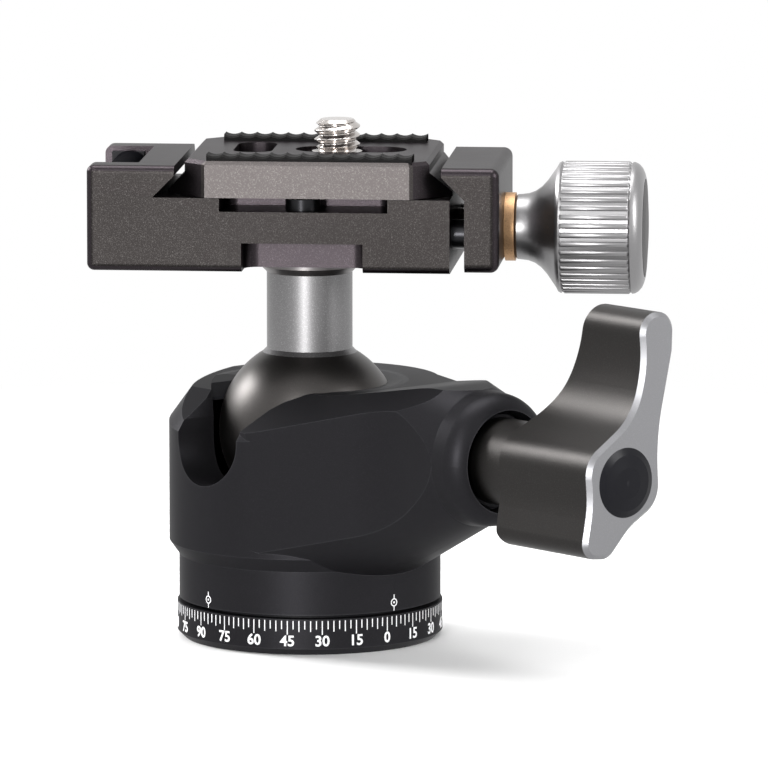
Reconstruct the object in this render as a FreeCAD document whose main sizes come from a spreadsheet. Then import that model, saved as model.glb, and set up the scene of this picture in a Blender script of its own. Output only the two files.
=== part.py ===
# Tripod ball head with a screw clamp and a quick release plate, in millimetres.
# Origin: centre of the tripod thread at the base's lower face. +X along the clamp, -Y to the front.
import FreeCAD, Part
import Sketcher
import math
import os
import re

os.makedirs("parts", exist_ok=True)

DOC = FreeCAD.newDocument("BallHead")
SHEET = DOC.addObject("Spreadsheet::Sheet", "Sizes")

SIZES = [
    ("base_radius", 18.3), ("base_height", 5.0), ("base_bevel", 0.9),
    ("thread_radius", 4.7625), ("insert_wall", 0.9), ("insert_height", 8.6), ("pan_post_radius", 8.0),
    ("pan_gap", 0.5), ("pan_pad_inner", 9.5), ("pan_pad_outer", 16.6), ("running_gap", 0.05),
    ("seat_gap", 0.02), ("floor_thickness", 3.6), ("retainer_radius", 11.0), ("retainer_thickness", 1.6),
    ("retainer_bolt_circle", 6.9), ("retainer_bolt_radius", 0.8),
    ("ball_radius", 12.5), ("ball_centre_height", 28.74), ("ball_flat_radius", 6.5),
    ("housing_radius", 19.4), ("housing_foot_radius", 18.05), ("foot_height", 6.0),
    ("taper_top_height", 13.4), ("housing_top_height", 35.5), ("rim_radius", 16.5),
    ("chamber_radius", 13.6), ("shoulder_tilt", 6.5), ("shoulder_run", 0.85), ("shoulder_height", 40.0),
    ("lever_azimuth", 44.4), ("facet_foot_height", 29.6), ("facet_slope", 0.56), ("facet_run", 20.0),
    ("notch_gap", 0.3), ("notch_flare", 4.6), ("collar_lip_drop", 0.9), ("collar_top_radius", 12.7),
    ("collar_drop", 1.8), ("collar_notch_gap", 0.4),
    ("seat_contact_angle", 42.0), ("seat_half_width", 2.2), ("spring_height", 1.2),
    ("boss_radius", 9.3), ("boss_length", 41.3), ("boss_round", 3.2), ("boss_mouth_radius", 7.0),
    ("web_foot_height", 9.6), ("fairing_reach", 27.0), ("fairing_radius", 22.0), ("boss_mouth_depth", 4.0),
    ("boss_tip_radius", 8.8), ("boss_web_radius", 27.0), ("boss_top_radius", 20.0), ("boss_web_end", 5.0),
    ("web_centre", 10.0), ("web_low_height", 5.9), ("web_rise", 12.1), ("web_reach", 25.0),
    ("spindle_radius", 3.8), ("plunger_length", 3.6),
    ("bush_radius", 5.8), ("lever_travel", 1.0), ("lever_collar_radius", 6.3),
    ("lever_start", 47.2), ("lever_end", 65.0), ("lever_tip_start", 54.0), ("lever_edge_bevel", 0.6),
    ("lever_cap_radius", 4.7), ("lever_cap_depth", 1.2), ("lever_cap_dome", 0.7), ("lever_screw_radius", 3.4),
    ("lever_screw_length", 6.0),
    ("neck_radius", 5.9), ("neck_foot_flare", 0.6), ("neck_flange_radius", 6.8), ("flange_band", 0.55),
    ("clamp_bottom_height", 52.0), ("clamp_floor_height", 62.15), ("jaw_top_height", 66.46),
    ("clamp_half_depth", 13.5), ("clamp_left", 29.3), ("clamp_right", 20.36), ("clamp_round_edge", 1.0),
    ("jaw_gap", 2.0), ("fixed_tip", 20.27), ("moving_tip", 22.33),
    ("fixed_flank", 3.0), ("moving_flank", 3.1), ("moving_jaw_right", 27.05), ("moving_jaw_corner", 1.2),
    ("top_recess_left", 11.1), ("top_recess_right", 11.9), ("top_recess_floor", 60.3),
    ("top_recess_depth", 8.0), ("low_recess_left", 8.1), ("low_recess_right", 8.5),
    ("low_recess_top", 56.0), ("low_recess_depth", 6.0), ("recess_corner", 1.8),
    ("stem_screw_radius", 2.5), ("stem_head_radius", 4.4), ("stem_head_height", 3.1), ("stem_depth", 7.0),
    ("stem_socket_radius", 2.0), ("stem_socket_depth", 2.0),
    ("knob_axis_height", 57.0), ("clamp_spindle_radius", 2.5), ("clamp_spindle_start", 6.6),
    ("washer_radius", 4.7), ("washer_thickness", 1.25), ("knob_start", 28.45), ("knob_end", 46.2),
    ("knob_radius", 9.1), ("knob_neck_radius", 4.45), ("knob_grip_start", 34.5),
    ("knob_grip_end", 44.4), ("knob_flare_radius", 7.3), ("knob_cap_radius", 6.7), ("knob_cap_height", 1.0),
    ("guide_radius", 2.0), ("guide_offset", 8.6), ("guide_start", 10.0), ("guide_end", 25.6),
    ("jaw_travel", 1.0), ("jaw_lift", 0.2),
    ("level_radius", 2.6), ("level_half_length", 8.6), ("level_inset", 3.6), ("level_drop", 3.15),
    ("level_pocket_reach", 6.8), ("level_pocket_half", 9.4), ("level_pocket_depth", 5.9),
    ("plate_left", 16.0), ("plate_right", 17.5), ("plate_foot_left", 18.5), ("plate_foot_right", 20.45),
    ("plate_bottom_height", 62.3), ("plate_top_height", 67.3), ("plate_front", 14.4), ("plate_back", 15.0),
    ("plate_corner", 5.5), ("plate_foot_edge", 0.5), ("plate_bevel", 0.5),
    ("slot_left", 2.0), ("slot_right", 13.3), ("slot_width", 7.0), ("slot_centre", 1.2),
    ("key_hole_centre", 7.7), ("key_hole_width", 5.4), ("key_hole_length", 11.4), ("key_hole_offset", 2.4),
    ("slot_step_width", 10.6), ("slot_step_depth", 2.4), ("slot_step_end", 2.0),
    ("pad_left", 12.8), ("pad_right", 15.3), ("pad_width", 3.4), ("pad_height", 0.9), ("pad_sink", 0.6),
    ("front_pad_centre", 12.1), ("back_pad_centre", 11.3),
    ("screw_radius", 3.175), ("screw_centre", 3.7), ("screw_reach", 4.2), ("screw_head_radius", 5.0),
    ("screw_head_height", 1.9), ("screw_bevel", 0.7), ("clip_thickness", 0.5),
    ("screw_groove_radius", 2.6), ("coin_slot_width", 1.2), ("coin_slot_depth", 1.0),
    ("stop_screw_radius", 1.5), ("stop_head_radius", 2.4), ("stop_head_height", 1.5), ("stop_depth", 3.0),
    ("stop_offset", 9.4),
]

for row, (alias, value) in enumerate(SIZES, start=1):
    SHEET.set("A%d" % row, alias)
    SHEET.set("B%d" % row, str(value))
    SHEET.setAlias("B%d" % row, alias)
DOC.recompute()

NODES = []
WORDS = {alias for alias, value in SIZES}


def bound(expression):
    """Write the sheet's name before each size that an expression names."""
    return re.sub("[a-z_]+", lambda word: ("Sizes." if word[0] in WORDS else "") + word[0], expression)


def keep(thing, label):
    """Name a finished sub-part and list it for export."""
    thing.Label = label
    NODES.append(thing)
    return thing


def bind(thing, **expressions):
    """Bind properties to expressions of the sheet; Base_x stands for Placement.Base.x."""
    for name, expression in expressions.items():
        path = name.replace("Base_", ".Placement.Base.")
        thing.setExpression(path, bound(expression))


def measure(text):
    """The present value of an expression of the sheet."""
    value = SHEET.evalExpression(bound(text))
    return float(getattr(value, "Value", value))


def plane_of(body, role):
    return next(item for item in body.Origin.OriginFeatures if item.Role == role)


def polygon(body, name, role, corners, offset=None):
    """A closed outline in one of a body's planes, every corner tied to the sheet."""
    sketch = body.newObject("Sketcher::SketchObject", name)
    sketch.AttachmentSupport = [(plane_of(body, role), "")]
    sketch.MapMode = "FlatFace"
    if offset:
        sketch.setExpression(".AttachmentOffset.Base.z", bound(offset))
    points = [FreeCAD.Vector(measure(x), measure(y), 0) for x, y in corners]
    count = len(points)
    for index, point in enumerate(points):
        sketch.addGeometry(Part.LineSegment(point, points[(index + 1) % count]), False)
    for index in range(count):
        sketch.addConstraint(Sketcher.Constraint("Coincident", index, 2, (index + 1) % count, 1))
    for index, corner in enumerate(corners):
        for kind, text, value in zip(("DistanceX", "DistanceY"), corner, points[index]):
            number = sketch.addConstraint(Sketcher.Constraint(kind, -1, 1, index, 1, value))
            sketch.setExpression("Constraints[%d]" % number, bound(text))
    return sketch


AIMS = {
    "up": FreeCAD.Rotation(),
    "right": FreeCAD.Rotation(FreeCAD.Vector(0, 1, 0), 90),
    "back": FreeCAD.Rotation(FreeCAD.Vector(1, 0, 0), -90),
    "lever": FreeCAD.Rotation(FreeCAD.Vector(0, 0, 1), -measure("lever_azimuth")),
    "lever_out": FreeCAD.Rotation(FreeCAD.Vector(0, 0, 1), -measure("lever_azimuth")).multiply(
        FreeCAD.Rotation(FreeCAD.Vector(0, 1, 0), 90)),
}


def aim(thing, direction, x="0", y="0", z="0"):
    """Turn a piece so that its own Z (or X, for lever) points as named, and place it."""
    thing.Placement = FreeCAD.Placement(FreeCAD.Vector(measure(x), measure(y), measure(z)), AIMS[direction])
    for letter, text in (("x", x), ("y", y), ("z", z)):
        if text != "0":
            thing.setExpression(".Placement.Base." + letter, bound(text))


def turned(name, profile, direction="up", x="0", y="0", z="0"):
    """A body of revolution from (radius, height) corners."""
    body = DOC.addObject("PartDesign::Body", name)
    sketch = polygon(body, name + "_profile", "XZ_Plane", profile)
    lathe = body.newObject("PartDesign::Revolution", name + "_turn")
    lathe.Profile = sketch
    lathe.ReferenceAxis = (sketch, ["V_Axis"])
    lathe.Angle = 360
    aim(body, direction, x, y, z)
    return body


def rod(name, radius, start, end, direction="up", x="0", y="0", z="0"):
    """A plain round bar between two heights."""
    return turned(name, [("0", start), (radius, start), (radius, end), ("0", end)], direction, x, y, z)


def sleeve(name, inner, outer, start, end, direction="up", x="0", y="0", z="0"):
    """A plain tube between two heights."""
    corners = [(inner, start), (outer, start), (outer, end), (inner, end)]
    return turned(name, corners, direction, x, y, z)


def slab(name, role, corners, start, end, direction="up", x="0", y="0", z="0"):
    """A body with one outline padded from one offset to another."""
    body = DOC.addObject("PartDesign::Body", name)
    sketch = polygon(body, name + "_outline", role, corners, start)
    pad = body.newObject("PartDesign::Pad", name + "_pad")
    pad.Profile = sketch
    pad.setExpression("Length", bound(end + " - ( " + start + " )"))
    aim(body, direction, x, y, z)
    DOC.recompute()
    return body


def boolean(kind, name, base, tool):
    result = DOC.addObject("Part::" + kind, name)
    result.Base = base
    result.Tool = tool
    return result


def cut(name, base, *tools):
    for number, tool in enumerate(tools, start=1):
        base = boolean("Cut", "%s_cut_%d" % (name, number), base, tool)
    return base


def fuse(name, first, *others):
    for number, other in enumerate(others, start=1):
        first = boolean("Fuse", "%s_fuse_%d" % (name, number), first, other)
    return first


def common(name, first, *others):
    for number, other in enumerate(others, start=1):
        first = boolean("Common", "%s_common_%d" % (name, number), first, other)
    return first


def rounded(name, base, radius, wanted, kind="Fillet"):
    """Round or bevel the edges that wanted() picks."""
    DOC.recompute()
    size = measure(radius)
    edges = [(number, size, size) for number, edge in enumerate(base.Shape.Edges, start=1) if wanted(edge)]
    result = DOC.addObject("Part::" + kind, name)
    result.Base = base
    result.Edges = edges
    return result


def shaped(name, role, corners, start, end, direction="up"):
    """A slab from (across, up, radius) corners; a corner with a radius is rounded."""
    body = slab(name, role, [corner[:2] for corner in corners], start, end, direction)
    radii = []
    for across, up, radius in corners:
        if radius == "0":
            continue
        spot = FreeCAD.Vector(measure(across), measure(up), 0)
        for number, edge in enumerate(body.Shape.Edges, start=1):
            place = body.Placement.inverse().multVec(middle(edge))
            flat = {"XY_Plane": (place.x, place.y), "XZ_Plane": (place.x, place.z),
                    "YZ_Plane": (place.y, place.z)}[role]
            if (FreeCAD.Vector(flat[0], flat[1], 0) - spot).Length < 0.001:
                radii.append((number, measure(radius), measure(radius)))
    result = DOC.addObject("Part::Fillet", name + "_rounded")
    result.Base = body
    result.Edges = radii
    return result


def in_lever_frame(point):
    return AIMS["lever"].inverted().multVec(point)


def runs_along(edge, x, y, z):
    """Whether an edge is straight and parallel to a direction."""
    if not isinstance(edge.Curve, Part.Line):
        return False
    return edge.Curve.Direction.cross(FreeCAD.Vector(x, y, z)).Length < 1e-4


def middle(edge):
    return edge.CenterOfMass


# The base stays on the tripod: disc with its post, thread insert, sliding pad, retainer and its screws.
def make_base():
    keep(turned("base_disc", [
        ("thread_radius + insert_wall", "0"), ("base_radius - base_bevel", "0"), ("base_radius", "base_bevel"),
        ("base_radius", "base_height"), ("pan_post_radius", "base_height"),
        ("pan_post_radius", POST_TOP), ("thread_radius + insert_wall", POST_TOP),
    ]), "base_disc")
    keep(sleeve("thread_insert", "thread_radius", "thread_radius + insert_wall", "0", "insert_height"),
         "thread_insert")
    keep(sleeve("pan_slide_ring", "pan_pad_inner", "pan_pad_outer", "base_height",
                "base_height + pan_gap - seat_gap"), "pan_slide_ring")
    plate = sleeve("retainer_blank", "retainer_bolt_radius", "retainer_radius", POST_TOP,
                   POST_TOP + " + retainer_thickness")
    holes = [retainer_bolt(number, "hole", "seat_gap") for number in range(3)]
    keep(cut("retainer", plate, *holes), "pan_retainer")
    for number in range(3):
        keep(retainer_bolt(number, "screw", "0 * seat_gap"), "pan_screw_%d" % (number + 1))


POST_TOP = "base_height + pan_gap + floor_thickness + running_gap"


def retainer_bolt(number, use, gap):
    angle = "%d" % (120 * number + 30)
    bolt = rod("retainer_%s_%d" % (use, number + 1), "retainer_bolt_radius + " + gap, POST_TOP,
               POST_TOP + " + retainer_thickness", "up",
               "retainer_bolt_circle * cos(%s deg)" % angle, "retainer_bolt_circle * sin(%s deg)" % angle)
    return bolt


AXIS = ("0", "0", "ball_centre_height")


# The housing turns on the base. Its lever axis is its own X, and the drop notch opens on its own -Y.
def make_housing():
    foot = "base_height + pan_gap"
    outer = turned("housing_wall", [
        ("0", foot), ("housing_foot_radius", foot), ("housing_foot_radius", foot + " + foot_height"),
        ("housing_radius", "taper_top_height"), ("housing_radius", "housing_top_height"),
        ("0", "housing_top_height"),
    ], "lever")
    cone = DOC.addObject("Part::Cone", "housing_shoulder")
    bind(cone, Radius1="rim_radius + shoulder_run * shoulder_height", Radius2="rim_radius",
         Height="shoulder_height")
    tilt = FreeCAD.Rotation(FreeCAD.Vector(1, 0, 0), measure("shoulder_tilt"))
    turn = AIMS["lever"].multiply(tilt)
    low_end = turn.multVec(FreeCAD.Vector(0, 0, -measure("shoulder_height")))
    cone.Placement = FreeCAD.Placement(low_end + FreeCAD.Vector(0, 0, measure("housing_top_height")), turn)
    body = common("housing_body", outer, cone)
    corner_reach = "sqrt(fairing_reach ^ 2 + boss_radius ^ 2)"
    turn_point = "( atan(boss_radius / fairing_reach) + acos(housing_radius / %s) )" % corner_reach
    touch = ("housing_radius * cos%s" % turn_point, "housing_radius * sin%s" % turn_point)
    plan = shaped("boss_plan", "XY_Plane", [
        ("0", "-( %s )" % touch[1], "0"), (touch[0], "-( %s )" % touch[1], "0"),
        ("fairing_reach", "-boss_radius", "fairing_radius"), ("boss_length", "-boss_radius", "0"),
        ("boss_length", "boss_radius", "0"), ("fairing_reach", "boss_radius", "fairing_radius"),
        (touch[0], touch[1], "0"), ("0", touch[1], "0"),
    ], "web_foot_height", "ball_centre_height + 14", "lever")
    side = shaped("boss_side", "XZ_Plane", [
        ("0", "web_foot_height", "0"), ("housing_foot_radius - 1", "web_foot_height", "0"),
        ("boss_length - boss_web_end", "ball_centre_height - boss_radius", "0"),
        ("boss_length", "ball_centre_height - boss_radius", "0"),
        ("boss_length", "ball_centre_height + boss_radius", "0"),
        ("fairing_reach + 3", "ball_centre_height + boss_radius", "fairing_radius"),
        ("rim_radius - 2", "housing_top_height", "0"), ("0", "housing_top_height", "0"),
    ], "-20", "20", "lever")
    cones = [turned("boss_cone_" + word, [
        ("0", "0"), ("boss_%s_radius" % word, "0"), ("boss_radius", "boss_length - boss_web_end"),
        ("boss_tip_radius", "boss_length"), ("0", "boss_length"),
    ], "lever_out", *AXIS) for word in ("top", "web")]
    lower_half = slab("boss_lower_half", "XZ_Plane", [
        ("0", "0"), ("boss_length", "0"), ("boss_length", "ball_centre_height"), ("0", "ball_centre_height"),
    ], "-20", "20", "lever")
    web_top = "web_low_height + web_rise"
    underside = turned("boss_underside", [
        ("0", "web_low_height"), ("web_reach", web_top), ("2 * web_reach", web_top),
        ("2 * web_reach", "housing_top_height + boss_radius"), ("0", "housing_top_height + boss_radius"),
    ], "lever", "web_centre * cos(lever_azimuth * 1 deg)", "-web_centre * sin(lever_azimuth * 1 deg)", "0")
    web = common("boss_web", cones[1], lower_half)
    block = common("boss", plan, side, underside, fuse("boss_cones", cones[0], web))
    reach = measure("boss_length")
    boss = rounded("boss_soft", block, "boss_round",
                   lambda edge: in_lever_frame(middle(edge)).x > reach - 0.01)
    solid = fuse("housing_solid", body, boss)
    chamber = turned("housing_chamber", [
        ("0", foot + " + floor_thickness"), ("chamber_radius", foot + " + floor_thickness"),
        ("chamber_radius", "housing_top_height + 5"), ("0", "housing_top_height + 5"),
    ], "lever")
    post_hole = rod("housing_post_hole", "pan_post_radius + running_gap", "0", foot + " + floor_thickness + 1",
                    "lever")
    mouth = rod("boss_mouth", "boss_mouth_radius", "boss_length - boss_mouth_depth", "boss_length + 5",
                "lever_out", "0", "0", "ball_centre_height")
    bore = rod("boss_bore", "bush_radius", "chamber_radius - 3", "boss_length - boss_mouth_depth + 1",
               "lever_out", "0", "0", "ball_centre_height")
    facet_edge = "facet_run * facet_slope"
    facet = slab("housing_facet", "YZ_Plane", [
        ("-( housing_radius + 5 )", "facet_foot_height - 5 * facet_slope"),
        ("facet_run - housing_radius", "facet_foot_height + " + facet_edge),
        ("-( housing_radius + 5 )", "facet_foot_height + " + facet_edge),
    ], "-housing_radius", "boss_length + 1", "lever")
    notch = notch_tool("housing_notch", NOTCH_HALF)
    keep(cut("housing", solid, facet, chamber, post_hole, mouth, bore, notch), "housing")


NOTCH_HALF = "neck_radius + notch_gap"


def notch_tool(name, half, flare="notch_flare"):
    """The cutter for the drop notch: a round-bottomed slot that flares at the top, out along -Y."""
    shoulder = "housing_top_height - " + flare
    straight = slab(name + "_slot", "XZ_Plane", [
        ("-( %s )" % half, "ball_centre_height"), (half, "ball_centre_height"),
        (half, shoulder), (half + " + %s * 0.134" % flare, shoulder + " + %s * 0.5" % flare),
        (half + " + %s * 0.5" % flare, shoulder + " + %s * 0.866" % flare),
        (half + " + " + flare, "housing_top_height"), (half + " + " + flare, "housing_top_height + 5"),
        ("-( %s + %s )" % (half, flare), "housing_top_height + 5"),
        ("-( %s + %s )" % (half, flare), "housing_top_height"),
        ("-( %s + %s * 0.5 )" % (half, flare), shoulder + " + %s * 0.866" % flare),
        ("-( %s + %s * 0.134 )" % (half, flare), shoulder + " + %s * 0.5" % flare),
        ("-( %s )" % half, shoulder),
    ], "4", "30", "lever")
    bottom = DOC.addObject("Part::Cylinder", name + "_bottom")
    bind(bottom, Radius=half, Height="26")
    turn = AIMS["lever"].multiply(FreeCAD.Rotation(FreeCAD.Vector(1, 0, 0), 90))
    start = turn.multVec(FreeCAD.Vector(0, 0, 4))
    bottom.Placement = FreeCAD.Placement(start + FreeCAD.Vector(0, 0, measure("ball_centre_height")), turn)
    return fuse(name, straight, bottom)


# The ball sits between a seat below and a collar above; the plunger presses on its side.
def ball_blank(name, gap="0 * seat_gap"):
    ball = DOC.addObject("Part::Sphere", name)
    bind(ball, Radius="ball_radius + " + gap, Base_z="ball_centre_height")
    return ball


def make_ball_bearings():
    collar = turned("collar_blank", [
        ("ball_radius * 0.6", "housing_top_height - collar_lip_drop - collar_drop"),
        ("chamber_radius", "housing_top_height - collar_lip_drop - collar_drop"),
        ("chamber_radius", "housing_top_height"), ("collar_top_radius", "housing_top_height"),
        ("ball_radius * 0.6", "housing_top_height - collar_lip_drop"),
    ], "lever")
    notch = notch_tool("collar_notch", "neck_radius + neck_foot_flare + collar_notch_gap")
    keep(cut("collar", collar, ball_blank("collar_hollow", "seat_gap"), notch), "ball_collar")

    sine = "sin(seat_contact_angle * 1 deg)"
    cosine = "cos(seat_contact_angle * 1 deg)"
    reach = "( ball_radius + 2 * seat_gap )"
    level = "ball_centre_height - %s * %s" % (reach, cosine)
    half = "seat_half_width"
    low = level + " - %s * %s" % (half, sine)
    skirt = "retainer_radius + 10 * running_gap"
    skirt_foot = "base_height + pan_gap + floor_thickness + spring_height + 2 * seat_gap"
    keep(turned("ball_seat", [
        ("%s * %s - %s * %s" % (reach, sine, half, cosine), low), (skirt, low), (skirt, skirt_foot),
        ("chamber_radius - running_gap", skirt_foot),
        ("chamber_radius - running_gap", level + " + %s * %s" % (half, sine)),
        ("%s * %s + %s * %s" % (reach, sine, half, cosine), level + " + %s * %s" % (half, sine)),
    ]), "ball_seat")
    keep(sleeve("seat_spring", skirt, "chamber_radius - running_gap",
                "base_height + pan_gap + floor_thickness + seat_gap", skirt_foot + " - seat_gap"), "seat_spring")


# The lock: a bush in the boss, a plunger on the ball and the spindle that the lever turns.
def make_lock():
    keep(sleeve("lock_bush", "spindle_radius + running_gap", "bush_radius", "chamber_radius + 3",
                "boss_length - boss_mouth_depth", "lever_out", *AXIS), "lock_bush")
    blank = rod("plunger_blank", "spindle_radius", "ball_radius - 1", "ball_radius + plunger_length",
                "lever_out", *AXIS)
    keep(cut("plunger", blank, ball_blank("plunger_hollow", "seat_gap")), "lock_plunger")
    spindle_foot = "ball_radius + plunger_length"
    keep(turned("lock_spindle", [
        ("0", spindle_foot), ("spindle_radius", spindle_foot),
        ("spindle_radius", "boss_length - boss_mouth_depth + 2 * lever_travel"),
        ("spindle_radius - 1", "boss_length - boss_mouth_depth + 2 * lever_travel"),
        ("spindle_radius - 1", "lever_end - lever_screw_length - 4"),
        ("0", "lever_end - lever_screw_length - 4"),
    ], "lever_out", *AXIS), "lock_spindle")
    keep(sleeve("lever_collar", "spindle_radius", "lever_collar_radius", "boss_length - boss_mouth_depth + 0.6",
                "boss_length - boss_mouth_depth + 2 * lever_travel", "lever_out", *AXIS), "lever_washer")
    keep(make_lever(), "lever")
    keep(turned("lever_screw", [
        ("0", "lever_end - lever_screw_length"), ("lever_screw_radius", "lever_end - lever_screw_length"),
        ("lever_screw_radius", "lever_end - lever_cap_depth - 1"),
        ("stem_socket_radius", "lever_end - lever_cap_depth - 1"),
        ("stem_socket_radius", "lever_end - lever_cap_depth - 3"), ("0", "lever_end - lever_cap_depth - 3"),
    ], "lever_out", *AXIS), "lever_screw")
    keep(turned("lever_cap", [
        ("0", "lever_end - lever_cap_depth"), ("lever_cap_radius", "lever_end - lever_cap_depth"),
        ("lever_cap_radius", "lever_end"), ("lever_cap_radius * 0.8", "lever_end + lever_cap_dome * 0.55"),
        ("lever_cap_radius * 0.45", "lever_end + lever_cap_dome * 0.88"),
        ("0", "lever_end + lever_cap_dome"),
    ], "lever_out", *AXIS), "lever_cap")


def make_lever():
    """The lever: its end view padded along the axis, then held within its side view."""
    outline = [
        ("2.6", "22.3", "2.8"), ("8.9", "22.3", "2.8"), ("8.7", "16.9", "2.5"), ("6.05", "5.5", "30"),
        ("6.5", "-3.2", "4.0"), ("1.2", "-6.2", "9.0"), ("-2.6", "-10.1", "2.6"), ("-7.6", "-9.6", "2.2"),
        ("-6.3", "-2.6", "14"), ("-6.8", "3.4", "4.0"), ("1.5", "8.6", "9.0"), ("3.3", "15.6", "16"),
    ]
    front_corners = [(across, lifted(up), radius) for across, up, radius in outline]
    front = shaped("lever_front", "YZ_Plane", front_corners,
                   "lever_start - 3", "lever_end", "lever")
    side_view = [
        ("lever_end + 1", "24", "0"), ("lever_tip_start + 0.4", "24", "0"), ("lever_tip_start - 0.8", "19.6", "5"),
        ("lever_tip_start - 3.4", "11.2", "18"), ("lever_start - 0.2", "5.6", "5"),
        ("lever_start", "-8.4", "2.2"), ("lever_start + 2.6", "-12.4", "0"), ("lever_end + 1", "-12.4", "0"),
    ]
    side_corners = [(across, lifted(up), radius) for across, up, radius in side_view]
    side = shaped("lever_side", "XZ_Plane", side_corners,
                  "-20", "20", "lever")
    whole = common("lever_blank", front, side)
    end_face = measure("lever_end")
    blank = rounded("lever_bevel", whole, "lever_edge_bevel",
                    lambda edge: abs(in_lever_frame(middle(edge)).x - end_face) < 0.001, "Chamfer")
    neck = rod("lever_neck", "lever_collar_radius - 0.4", "boss_length - boss_mouth_depth + 2 * lever_travel",
               "lever_start + 1", "lever_out", *AXIS)
    joined = fuse("lever_joined", blank, neck)
    pocket = rod("lever_pocket", "lever_cap_radius", "lever_end - lever_cap_depth", "lever_end + 5",
                 "lever_out", *AXIS)
    screw_hole = rod("lever_screw_hole", "lever_screw_radius", "lever_end - lever_screw_length",
                     "lever_end", "lever_out", *AXIS)
    spindle_hole = rod("lever_spindle_hole", "spindle_radius - 1", "boss_length - boss_mouth_depth",
                       "lever_end - lever_screw_length - 4", "lever_out", *AXIS)
    return cut("lever", joined, pocket, screw_hole, spindle_hole)


def lifted(up):
    return "ball_centre_height + " + up


# The stem: ball, neck and the screw that holds the clamp to both.
def make_stem():
    flat = "sqrt( ball_radius ^ 2 - ball_flat_radius ^ 2 ) + ball_centre_height"
    top = rod("ball_flat", "ball_radius", flat, flat + " + 10")
    hole = rod("ball_hole", "stem_screw_radius", flat + " - stem_depth", flat + " + 1")
    keep(cut("ball", ball_blank("ball_blank"), top, hole), "ball")
    band = "clamp_bottom_height - flange_band"
    flare = "neck_foot_flare"
    keep(turned("neck", [
        ("stem_screw_radius", flat), ("neck_radius + " + flare, flat),
        ("neck_radius", flat + " + " + flare), ("neck_radius", band + " - neck_flange_radius + neck_radius"),
        ("neck_flange_radius", band), ("neck_flange_radius", "clamp_bottom_height"),
        ("stem_screw_radius", "clamp_bottom_height"),
    ]), "neck")
    head = "clamp_floor_height - stem_head_height - 0.3"
    keep(turned("stem_screw", [
        ("0", flat + " - stem_depth"), ("stem_screw_radius", flat + " - stem_depth"),
        ("stem_screw_radius", head), ("stem_head_radius", head),
        ("stem_head_radius", head + " + stem_head_height"),
        ("stem_socket_radius", head + " + stem_head_height"),
        ("stem_socket_radius", head + " + stem_head_height - stem_socket_depth"),
        ("0", head + " + stem_head_height - stem_socket_depth"),
    ]), "stem_screw")


# The clamp: fixed jaw and floor in one body, a moving jaw on two guide pins, and the knob's screw.
def box_tool(name, x_low, x_high, y_low, y_high, z_low, z_high):
    return slab(name, "XY_Plane", [(x_low, y_low), (x_high, y_low), (x_high, y_high), (x_low, y_high)],
                z_low, z_high)


def upright(edge):
    return runs_along(edge, 0, 0, 1)


def long_outer_edge(edge):
    """Whether an edge runs along the clamp at its front or back, at the jaws' top or the lower face."""
    place = middle(edge)
    at_side = abs(abs(place.y) - measure("clamp_half_depth")) < 0.01
    ends = ("jaw_top_height", "clamp_bottom_height", "clamp_bottom_height + jaw_lift")
    return runs_along(edge, 1, 0, 0) and at_side and any(abs(place.z - measure(end)) < 0.01 for end in ends)


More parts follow.
